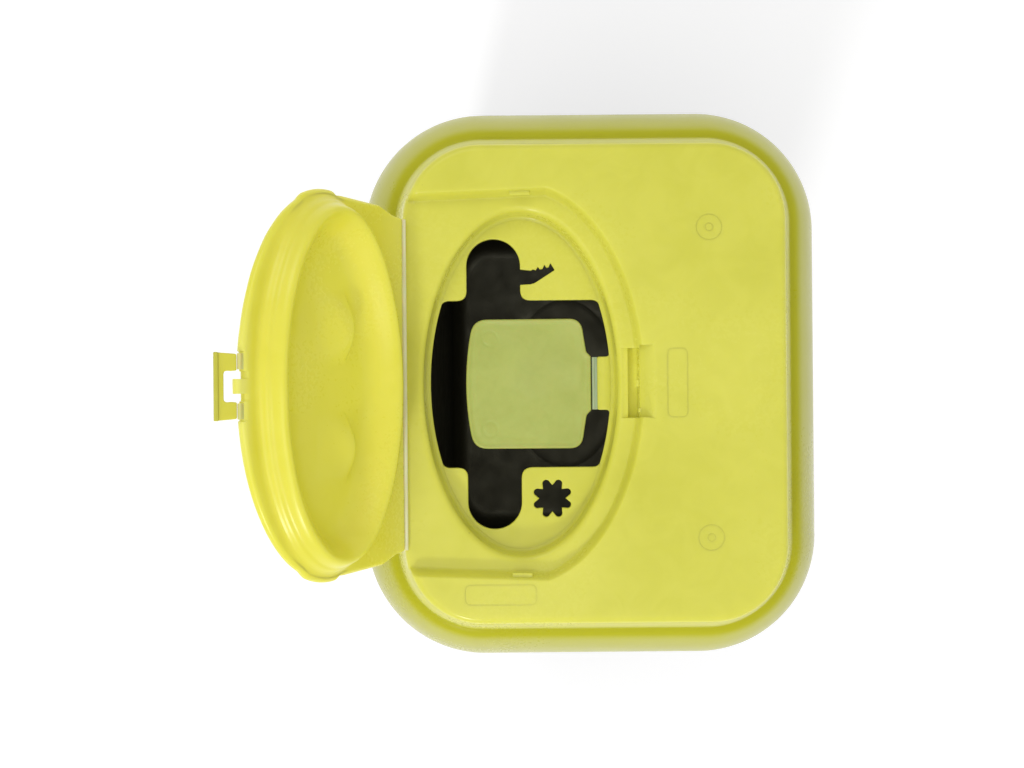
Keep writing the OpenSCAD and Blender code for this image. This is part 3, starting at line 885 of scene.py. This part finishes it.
def base_tub():
    """The tub: foot, drafted wall with a fill line, rim bead, and the inside down to a faint floor mark."""
    theta = angles(480)
    centre = (0.0, 0.0)
    foot_r, top_r = 14.6, TUB_HI[0] - CORE_X - 1.5
    wall, floor, height = 1.6, 2.0, TUB_HI[2]

    def draft_r(z):
        return foot_r + (top_r - foot_r) * z / height

    def core(r, z):
        return ring(centre, theta, reach(core_field, r, centre, theta), z)

    def oval(rx, ry, z):
        return ring(centre, theta, reach(oval_field(rx, ry, 0.0), 0.0, centre, theta), z)

    foot = ((6, 9, 0.6), (17, 26, 0.6), (17.5, 26.5, 0.45), (18, 27, 0.1), (18.5, 27.5, 0.0))
    rings = [oval(*step) for step in foot]
    for a in np.linspace(-math.pi / 2, 0, 9):
        rings.append(core(draft_r(4) - 4 + 4 * math.cos(a), 4 + 4 * math.sin(a)))
    line_z = 122.0
    for z in np.linspace(12, line_z - 1, 16):
        rings.append(core(draft_r(z), z))
    for r, z in ((0.0, 0.0), (0.12, 0.1), (0.38, 0.3), (0.4, 0.5), (0.38, 0.7), (0.12, 0.9), (0.0, 1.0)):
        rings.append(core(draft_r(line_z) + r, line_z + z))
    for z in np.linspace(line_z + 3, height - 3.2, 7):
        rings.append(core(draft_r(z), z))
    for r, z in ((0.15, -2.9), (1.2, -2.6), (1.45, -2.4), (1.5, -2.1), (1.5, -0.5), (1.3, -0.15),
                 (1.0, 0.0), (-wall + 0.4, 0.0), (-wall + 0.1, -0.15), (-wall, -0.5)):
        rings.append(core(top_r + r, height + z))
    for z in np.linspace(height - 6, 10, 18):
        rings.append(core(draft_r(z) - wall, z))
    inner_foot = draft_r(8) - wall
    for a in np.linspace(0, -math.pi / 2, 9):
        rings.append(core(inner_foot - 6 + 6 * math.cos(a), floor + 6 + 6 * math.sin(a)))
    for rx, ry, z in ((20.5, 30.5, 0), (19.3, 29.3, 0), (19, 29, -0.06), (18.6, 28.6, -0.1),
                      (18.2, 28.2, -0.06), (17.9, 27.9, 0), (16.5, 26.5, 0), (6, 9, 0)):
        rings.append(oval(rx, ry, floor + z))
    return loft("base_tub_form", rings)


# ---- materials ----

class Paint:
    """A procedural material around one Principled shader. Sizes are in millimetres."""

    def __init__(self, name):
        self.material = bpy.data.materials.new(name)
        self.material.use_nodes = True
        self.tree = self.material.node_tree
        self.tree.nodes.clear()
        self.shader = self.tree.nodes.new("ShaderNodeBsdfPrincipled")
        output = self.tree.nodes.new("ShaderNodeOutputMaterial")
        self.tree.links.new(self.shader.outputs[0], output.inputs["Surface"])
        self.place = self.tree.nodes.new("ShaderNodeTexCoord").outputs["Object"]

    def node(self, kind, **inputs):
        """A node of this kind; each input is a value or another node's output."""
        made = self.tree.nodes.new("ShaderNode" + kind)
        for name, value in inputs.items():
            self.set(made.inputs[name.replace("_", " ")], value)
        return made

    def set(self, socket, value):
        if isinstance(value, bpy.types.NodeSocket):
            self.tree.links.new(value, socket)
        else:
            socket.default_value = value

    def noise(self, size, detail=2.0, distortion=0.0):
        """Noise whose features are about `size` millimetres across."""
        made = self.node("TexNoise", Vector=self.place, Scale=1 / (size * MM), Detail=detail,
                         Distortion=distortion)
        return made.outputs["Fac"]

    def streaks(self, stretch, detail):
        """Noise drawn out along one axis; `stretch` is its scale along X, Y and Z."""
        stretched = self.node("Mapping", Vector=self.place, Scale=stretch).outputs[0]
        return self.node("TexNoise", Vector=stretched, Scale=1.0, Detail=detail).outputs["Fac"]

    def span(self, value, low, high, to_low=0.0, to_high=1.0):
        """Maps a value from one range to another, clamped."""
        made = self.node("MapRange", Value=value, From_Min=low, From_Max=high, To_Min=to_low,
                         To_Max=to_high)
        return made.outputs["Result"]

    def reach(self, place, low, high, to_low=0.0, to_high=1.0):
        """The same along a coordinate, between two places in millimetres."""
        return self.span(place, low * MM, high * MM, to_low, to_high)

    def both(self, a, b):
        """The product of two masks."""
        return self.math("MULTIPLY", a, b)

    def math(self, operation, a, b):
        made = self.tree.nodes.new("ShaderNodeMath")
        made.operation = operation
        self.set(made.inputs[0], a)
        self.set(made.inputs[1], b)
        return made.outputs[0]

    def mix(self, factor, a, b):
        """Mixes two colours."""
        made = self.tree.nodes.new("ShaderNodeMix")
        made.data_type = "RGBA"
        self.set(made.inputs[0], factor)
        self.set(made.inputs[6], a)
        self.set(made.inputs[7], b)
        return made.outputs[2]

    def axis(self, index):
        """One of the object's own coordinates, in metres."""
        return self.node("SeparateXYZ", Vector=self.place).outputs[index]

    def bump(self, *layers):
        """Stacks (height, strength, depth in millimetres) bumps."""
        normal = None
        for height, strength, depth in layers:
            made = self.node("Bump", Height=height, Strength=strength, Distance=depth * MM)
            if normal is not None:
                self.set(made.inputs["Normal"], normal)
            normal = made.outputs["Normal"]
        self.set(self.shader.inputs["Normal"], normal)

    def base(self, colour):
        self.set(self.shader.inputs["Base Color"], colour)

    def rough(self, value):
        self.set(self.shader.inputs["Roughness"], value)

    def uniform(self, **values):
        """Sets numbers that are the same all over on the shader itself."""
        for name, value in values.items():
            self.shader.inputs[name.replace("_", " ")].default_value = value


def srgb(r, g, b):
    """A colour as read on screen, made linear."""
    linear = (((c / 255 + 0.055) / 1.055) ** 2.4 if c > 10 else c / 255 / 12.92 for c in (r, g, b))
    return tuple(linear) + (1.0,)


def specks(paint, size, share):
    """Sparse dots: 1 inside a dot. `size` is the cell, in millimetres."""
    cells = paint.node("TexVoronoi", Vector=paint.place, Scale=1 / (size * MM))
    pick = paint.node("SeparateXYZ", Vector=cells.outputs["Color"]).outputs[0]
    chosen = paint.math("GREATER_THAN", pick, 1 - share)
    near = paint.span(cells.outputs["Distance"], 0.012, 0.028, 1.0, 0.0)
    return paint.both(chosen, near)


def yellow_plastic(name, light, deep, glow, ring=None, pale=None):
    """Translucent moulded plastic: cloudy tone, flow marks, a fine moulded texture and sparse specks."""
    paint = Paint(name)
    cloud = paint.span(paint.noise(38, 3.0, 0.4), 0.32, 0.68)
    flow = paint.span(paint.noise(7, 4.0, 1.2), 0.35, 0.65)
    tone = paint.math("ADD", paint.both(cloud, 0.75), paint.both(flow, 0.25))
    colour = paint.mix(tone, light, deep)
    # ring holds the colours of the painted shade on the lid's skirt and shoulder
    if ring:
        colour = painted_light_and_shade(paint, colour, ring)
    if pale:
        colour = pale_ends(paint, colour, pale)
    dots = paint.both(specks(paint, 9.0, 0.12), 0.35)
    paint.base(paint.mix(dots, colour, (0.25, 0.22, 0.05, 1.0)))
    grain = paint.noise(0.9, 3.0)
    paint.rough(paint.span(paint.math("ADD", cloud, grain), 0.5, 1.6, 0.25, 0.36))
    paint.bump((paint.noise(0.8, 2.0), 0.025, 0.02), (paint.noise(6.0, 2.0), 0.1, 0.1))
    if ring:
        paint.uniform(Coat_Weight=0.25, Coat_Roughness=0.12, Coat_IOR=1.35, Specular_IOR_Level=0.2)
    paint.uniform(IOR=1.49, Subsurface_Weight=glow, Subsurface_Scale=0.004,
                  Subsurface_Radius=(1.0, 0.9, 0.25))
    return paint.material


def painted_light_and_shade(paint, colour, ring):
    """Painted light and shade on the lid: painted shade on the ring, painted light in the pocket and a
    painted sheen on the wall.
    """
    # painted shade: the skirt and shoulder are darkened, most towards the rim, partly for the dark tub
    # showing through them and partly for the lesser light on their steep faces
    height = paint.axis(2)
    below = paint.reach(height, LEDGE_Z, LEDGE_Z + 1.6, 1.0, 0.0)
    shade_towards_rim = paint.reach(height, RIM_Z + 2, LEDGE_Z - 1, 1.0, 0.0)
    colour = paint.mix(below, colour, paint.mix(shade_towards_rim, ring[0], ring[1]))
    # light from inside brightens the latch's pocket, least beside its far wall
    along, aside = paint.axis(0), paint.math("ABSOLUTE", paint.axis(1), 0.0)
    pocket = paint.reach(along, SLOT_LO_X - 0.1, SLOT_LO_X)
    for edge in (paint.reach(height, SEAT_Z - 1.2, SEAT_Z - 0.3, 1.0, 0.0),
                 paint.reach(height, SLOT_FLOOR - 0.6, SLOT_FLOOR - 0.3),
                 paint.reach(along, SLOT_HI_X, SLOT_HI_X + 0.3, 1.0, 0.0),
                 paint.reach(aside, SLOT_HALF, SLOT_HALF + 1, 1.0, 0.0)):
        pocket = paint.both(pocket, edge)
    lit = paint.reach(along, SLOT_HI_X - 0.4, SLOT_HI_X - 0.1, 1.0, 0.6)
    colour = paint.mix(paint.both(pocket, lit), colour, (1.0, 0.97, 0.15, 1.0))
    # painted sheen: the wall around the flat top is whitened where its grazing edge would reflect the pale
    # surroundings
    wall = paint.both(paint.reach(height, LEDGE_Z + 0.2, LEDGE_Z + 4, 0.0, 0.7),
                      paint.reach(height, SEAT_Z - 2, SEAT_Z - 0.3, 0.8, 0.0))
    ends = paint.math("ABSOLUTE", along, 0.0)
    rim = paint.math("MAXIMUM", paint.reach(aside, CORE_Y + 11, CORE_Y + 14),
                     paint.reach(ends, CORE_X + 11, CORE_X + 14))
    return paint.mix(paint.both(wall, rim), colour, srgb(228, 226, 156))


def pale_ends(paint, colour, pale):
    """Whitens the flip lid beside its hinge and towards the latch."""
    c, s = math.cos(OPEN_ANGLE), math.sin(OPEN_ANGLE)
    dot = paint.node("VectorMath", Vector=paint.place)
    dot.operation = "DOT_PRODUCT"
    dot.inputs[1].default_value = (c, 0.0, s)
    along, start = dot.outputs["Value"], HINGE[0] * c + HINGE[2] * s
    near = paint.reach(along, start + 1, start + 9, 0.3, 0.0)
    far = paint.reach(along, start + FLIP_END - 3, start + FLIP_END, 0.0, 0.4)
    return paint.mix(paint.math("MAXIMUM", near, far), colour, pale)


def hinge_plastic(name, light, deep):
    """A thin hinge web, whitened where it bends."""
    paint = Paint(name)
    streak = paint.streaks((900, 90, 900), 3.0)
    paint.base(paint.mix(paint.span(streak, 0.35, 0.65), light, deep))
    paint.rough(paint.span(streak, 0.3, 0.7, 0.3, 0.45))
    paint.bump((streak, 0.2, 0.05))
    paint.uniform(Subsurface_Weight=0.2, Subsurface_Scale=0.002)
    return paint.material


def flap_plastic():
    """The thin greenish flap: mottled, a little see-through, with a fine haze."""
    paint = Paint("flap_film")
    mottle = paint.span(paint.noise(6.5, 4.0, 0.8), 0.33, 0.67)
    haze = paint.span(paint.noise(1.4, 3.0), 0.3, 0.7)
    tone = paint.math("ADD", paint.both(mottle, 0.7), paint.both(haze, 0.3))
    colour = paint.mix(tone, srgb(188, 196, 100), srgb(177, 186, 89))
    paint.base(paint.mix(paint.span(paint.noise(16, 2.0), 0.5, 0.75, 0.0, 0.4), colour, srgb(188, 193, 118)))
    paint.rough(paint.span(haze, 0, 1, 0.3, 0.48))
    paint.bump((paint.noise(5.0, 2.0), 0.12, 0.08), (paint.noise(0.5, 2.0), 0.15, 0.02))
    paint.uniform(IOR=1.49, Subsurface_Weight=0.15, Subsurface_Scale=0.002, Alpha=0.93)
    return paint.material


def tub_plastic():
    """Near-black moulded plastic with a fine texture and faint scuffs."""
    paint = Paint("tub_black")
    cloud = paint.span(paint.noise(30, 3.0, 0.5), 0.3, 0.7)
    colour = paint.mix(cloud, srgb(50, 49, 42), srgb(42, 41, 35))
    scuff = paint.streaks((160, 160, 900), 4.0)
    paint.base(paint.mix(paint.span(scuff, 0.66, 0.8, 0.0, 0.5), colour, srgb(70, 68, 58)))
    paint.rough(paint.span(scuff, 0.3, 0.75, 0.36, 0.55))
    paint.bump((paint.noise(0.5, 2.0), 0.35, 0.04), (paint.noise(12, 2.0), 0.2, 0.15))
    paint.uniform(IOR=1.49)
    return paint.material


def label_paper():
    """A plain sticker: a coloured head band over ruled lines, with paper tone and fibre."""
    paint = Paint("label_paper")
    fibre = paint.noise(0.6, 4.0, 0.6)
    cloud = paint.noise(18, 2.0)
    tone = paint.span(paint.math("ADD", fibre, cloud), 0.8, 1.2)
    colour = paint.mix(tone, srgb(238, 237, 230), srgb(226, 224, 214))
    height, across = paint.axis(2), paint.axis(1)
    mid_z = (LABEL_LO[2] + LABEL_HI[2]) / 2
    half_z, half_y = (LABEL_HI[2] - LABEL_LO[2]) / 2, LABEL_HI[1]
    margin, pitch, thick = 4.0, 8.0, 0.35
    inside = paint.math("LESS_THAN", paint.math("ABSOLUTE", across, 0.0), (half_y - margin) * MM)
    band = paint.math("GREATER_THAN", height, (mid_z + half_z - 14) * MM)
    below = paint.math("LESS_THAN", height, (mid_z + half_z - 18) * MM)
    above = paint.math("GREATER_THAN", height, (mid_z - half_z + margin) * MM)
    wave = paint.math("PINGPONG", paint.math("SUBTRACT", height, mid_z * MM), pitch / 2 * MM)
    line = paint.math("LESS_THAN", wave, thick / 2 * MM)
    for limit in (inside, below, above):
        line = paint.both(line, limit)
    worn = paint.span(paint.noise(1.2, 3.0), 0.3, 0.6, 0.86, 0.95)
    colour = paint.mix(paint.both(line, worn), colour, srgb(60, 60, 58))
    paint.base(paint.mix(paint.both(band, worn), colour, srgb(214, 206, 70)))
    paint.rough(paint.span(fibre, 0.3, 0.7, 0.5, 0.65))
    paint.bump((fibre, 0.2, 0.03))
    return paint.material


def floor_paint():
    """A pale matt surface with a little light of its own, so that it reads white in the picture."""
    paint = Paint("floor")
    tone = paint.span(paint.noise(160, 3.0), 0.3, 0.7)
    paint.base(paint.mix(tone, (0.95, 0.95, 0.95, 1), (0.93, 0.93, 0.93, 1)))
    paint.rough(paint.span(tone, 0, 1, 0.8, 0.9))
    paint.uniform(Emission_Color=(1.0, 1.0, 1.0, 1.0), Emission_Strength=0.24)
    return paint.material


def wear(obj, material):
    """Gives a piece its one material."""
    obj.data.materials.clear()
    obj.data.materials.append(material)
    return obj


# ---- assembly ----

def build():
    """Makes and paints every piece, hangs it on its body and hides the CAD nodes that it replaces; the CAD
    nodes that stay are painted and some rounded.
    """
    # ring: colours of the painted shade on the skirt and shoulder, the second one towards the rim
    lid_paint = yellow_plastic("lid_yellow", srgb(225, 222, 95), srgb(212, 210, 80), 0.35,
                               ring=(srgb(186, 184, 24), srgb(160, 160, 11)))
    # the flip lid's colours are painted lighter than the lid's, as painted light on its tilted open face
    flip_paint = yellow_plastic("flip_lid_yellow", srgb(236, 230, 86), srgb(228, 222, 66), 0.35,
                                pale=srgb(240, 237, 150))
    latch_paint = yellow_plastic("latch_yellow", srgb(216, 210, 76), srgb(206, 200, 62), 0.3)
    hinge_paint = hinge_plastic("hinge_web", srgb(244, 242, 200), srgb(228, 226, 176))
    latch_web_paint = hinge_plastic("latch_web", srgb(228, 224, 140), srgb(210, 206, 118))
    flap_web_paint = hinge_plastic("flap_web", srgb(186, 200, 160), srgb(150, 166, 130))
    flap_paint = flap_plastic()
    tub_paint, paper_paint = tub_plastic(), label_paper()

    needle, blade = aperture_plates()
    lid_pieces = [(lid_body(), ["lid_shell"]), (lid_ribs(), []), (recess_clips(), ["recess_clips"]),
                  (catch_nubs(), ["latch_catch"]), (moulding_marks(), []), (needle, ["needle_plate"]),
                  (blade, ["blade_plate"]), (hinge_tab(), ["flap_hinge_tab"])]
    made = [(piece, nodes, "container", "lid_plastic", lid_paint) for piece, nodes in lid_pieces]
    made += [
        (base_tub(), ["base_tub"], "container", "tub_plastic", tub_paint),
        (safety_flap(), ["safety_flap"], "safety_flap", "flap_film", flap_paint),
        (flip_lid(), ["flip_lid", "flip_lid_ears", "plug_ring"], "flip_lid", "flip_lid_plastic",
         flip_paint),
        (latch(), ["latch_tab"], "latch", "flip_lid_plastic", latch_paint),
    ]
    for piece, nodes, body, slot, paint in made:
        wear(piece, paint)
        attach(piece, body)
        if nodes:
            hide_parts(*nodes)

    kept = {
        "user_label": (paper_paint, 0.0),
        "skirt_snaps": (lid_paint, 0.3),
        "flap_hinge_web": (flap_web_paint, 0.0),
        "flip_lid_hinge_web": (hinge_paint, 0.0),
        "latch_hinge_web": (latch_web_paint, 0.0),
    }
    for node, (paint, width) in kept.items():
        wear(frame["nodes"][node], paint)
        if width:
            soften(node, width)


def stage():
    """Pale floor, soft light and the camera above the lid."""
    size, steps = 6000.0, 12
    line = np.linspace(-size, size, steps)
    vertices = [(x, y, -0.05) for y in line for x in line]
    faces = [(r * steps + c, r * steps + c + 1, (r + 1) * steps + c + 1, (r + 1) * steps + c)
             for r in range(steps - 1) for c in range(steps - 1)]
    floor = make_object("floor", vertices, faces)
    wear(floor, floor_paint())

    world = bpy.data.worlds.new("studio")
    bpy.context.scene.world = world
    world.use_nodes = True
    back = world.node_tree.nodes["Background"]
    back.inputs["Color"].default_value = (1.0, 1.0, 1.0, 1.0)
    back.inputs["Strength"].default_value = 0.62

    middle = Vector(((CAD_BOX[0][0] + CAD_BOX[1][0]) / 2, 0, TOP_Z * MM))
    for name, offset, size, power in (("key", (-0.24, -0.88, 0.65), 0.14, 3.4),
                                      ("fill", (-0.3, 0.8, 0.9), 0.6, 2.2),
                                      ("top", (-0.2, -0.35, 1.05), 0.7, 2.0)):
        light = lamp(name, "DISK", size, power, middle + Vector(offset))
        light.rotation_euler = (-Vector(offset)).to_track_quat("-Z", "Y").to_euler()

    # daylight that reaches the tub through the translucent lid
    inside = lamp("inside", "RECTANGLE", CORE_X * 2 * MM, 0.028, (0.0, 0.0, (PLATE_UNDER - 2) * MM))
    inside.data.size_y = CORE_Y * 2 * MM
    inside.data.color = (1.0, 0.97, 0.7)
    inside.visible_camera = False

    # looking straight down, turned by half a degree as the picture is
    camera_height, lens, turn = 308.0, 51.0, -0.5
    camera = add_object("camera", bpy.data.cameras.new("camera"))
    camera.data.sensor_width = 36.0
    camera.data.lens = lens
    camera.data.clip_start = 0.01
    camera.location = (-18.0 * MM, 0.0, (TOP_Z + camera_height) * MM)
    camera.rotation_euler = (0.0, 0.0, math.radians(turn))
    bpy.context.scene.camera = camera
    bpy.context.scene.view_settings.view_transform = "Standard"


def lamp(name, shape, size, power, where):
    """An area light; size in metres, power in watts."""
    light = add_object(name, bpy.data.lights.new(name, "AREA"))
    light.data.shape = shape
    light.data.size = size
    light.data.energy = power
    light.location = where
    return light


build()
stage()
bpy.context.view_layer.update()
